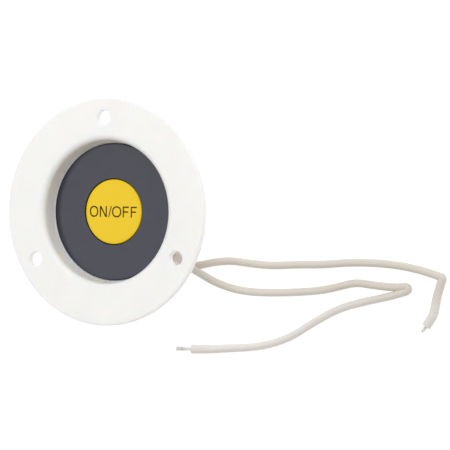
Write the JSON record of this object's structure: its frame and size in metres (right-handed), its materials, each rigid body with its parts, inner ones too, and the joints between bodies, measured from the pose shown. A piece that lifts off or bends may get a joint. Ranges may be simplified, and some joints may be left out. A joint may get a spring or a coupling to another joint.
{
  "type": "push button switch",
  "caption": "Round flange-mount push-on push-off switch: white flange with a recessed dark face, round button and two flying leads.",
  "frame": {"origin": "centre of the flat rear cover's outer face, under the button's axis; the free leads are left out of this box", "axes": "+Z out of the switch's face along the button's travel; +Y towards the screw hole above the legend; +X to the right of the legend"},
  "size_m": [0.1784, 0.1003, 0.027],
  "materials": {
    "flange_white": "moulded, satin",
    "face_grey": "fine texture, satin",
    "button_yellow": "moulded, satin",
    "housing_white": "moulded, satin",
    "black_rubber": "matte",
    "gland_rubber": "moulded, matte",
    "nylon": "natural",
    "base_phenolic": "moulded phenolic",
    "spring_steel": "bright wire",
    "screw_steel": "zinc plated",
    "contact_brass": "stamped",
    "contact_silver": "silver, satin",
    "tinned_terminal": "tin plated",
    "lead_insulation": "extruded, satin",
    "tinned_conductor": "tinned strands",
    "legend_ink": "pad-printed ink, on the button only"
  },
  "bodies": {
    "housing": {"mounting_flange": "flange_white", "face_disc": "face_grey", "face_gasket": "black_rubber", "button_wiper_seal": "black_rubber", "button_return_spring": "spring_steel", "switch_carrier": "nylon", "carrier_screws": "screw_steel", "contact_spring": "spring_steel", "bridge_return_spring": "spring_steel", "terminal_base": "base_phenolic", "base_screws": "screw_steel", "terminal_strip_near": "contact_brass", "terminal_strip_far": "contact_brass", "fixed_contact_tips": "contact_silver", "terminal_screws": "screw_steel", "ring_terminal_near": "tinned_terminal", "ring_terminal_far": "tinned_terminal", "inner_lead_long": "lead_insulation", "inner_lead_short": "lead_insulation", "lead_grommet": "gland_rubber", "rear_housing": "housing_white", "rear_cover_seal": "black_rubber", "rear_cover": "housing_white", "rear_cover_screws": "screw_steel", "lead_long": "lead_insulation", "lead_short": "lead_insulation", "conductor_long": "tinned_conductor", "conductor_short": "tinned_conductor"},
    "button": {"button_cap": "button_yellow", "plunger": "nylon", "plunger_clip": "spring_steel"},
    "latch": {"latch_rotor": "nylon"},
    "bridge": {"contact_bridge": "contact_brass", "moving_contact_tips": "contact_silver"}
  },
  "joints": [
    {"name": "button_press", "type": "slide", "parent": "housing", "child": "button", "axis": [0, 0, -1], "range_m": [0, 0.0015], "stiffness_N_per_m": 1600, "springref_m": -0.002, "deforming": ["button_return_spring", "contact_spring"]},
    {"name": "latch_turn", "type": "hinge", "parent": "button", "child": "latch", "pos_m": [0, 0, 0.0096], "axis": [0, 0, 1], "range_deg": [0, 45]},
    {"name": "contact_close", "type": "slide", "parent": "housing", "child": "bridge", "axis": [0, 0, -1], "range_m": [0, 0.001], "deforming": ["bridge_return_spring"]}
  ],
  "couplings": [
    {"joint": "latch_turn", "follows": "button_press", "rad_per_m": 520},
    {"joint": "contact_close", "follows": "button_press", "ratio": 0.66}
  ]
}
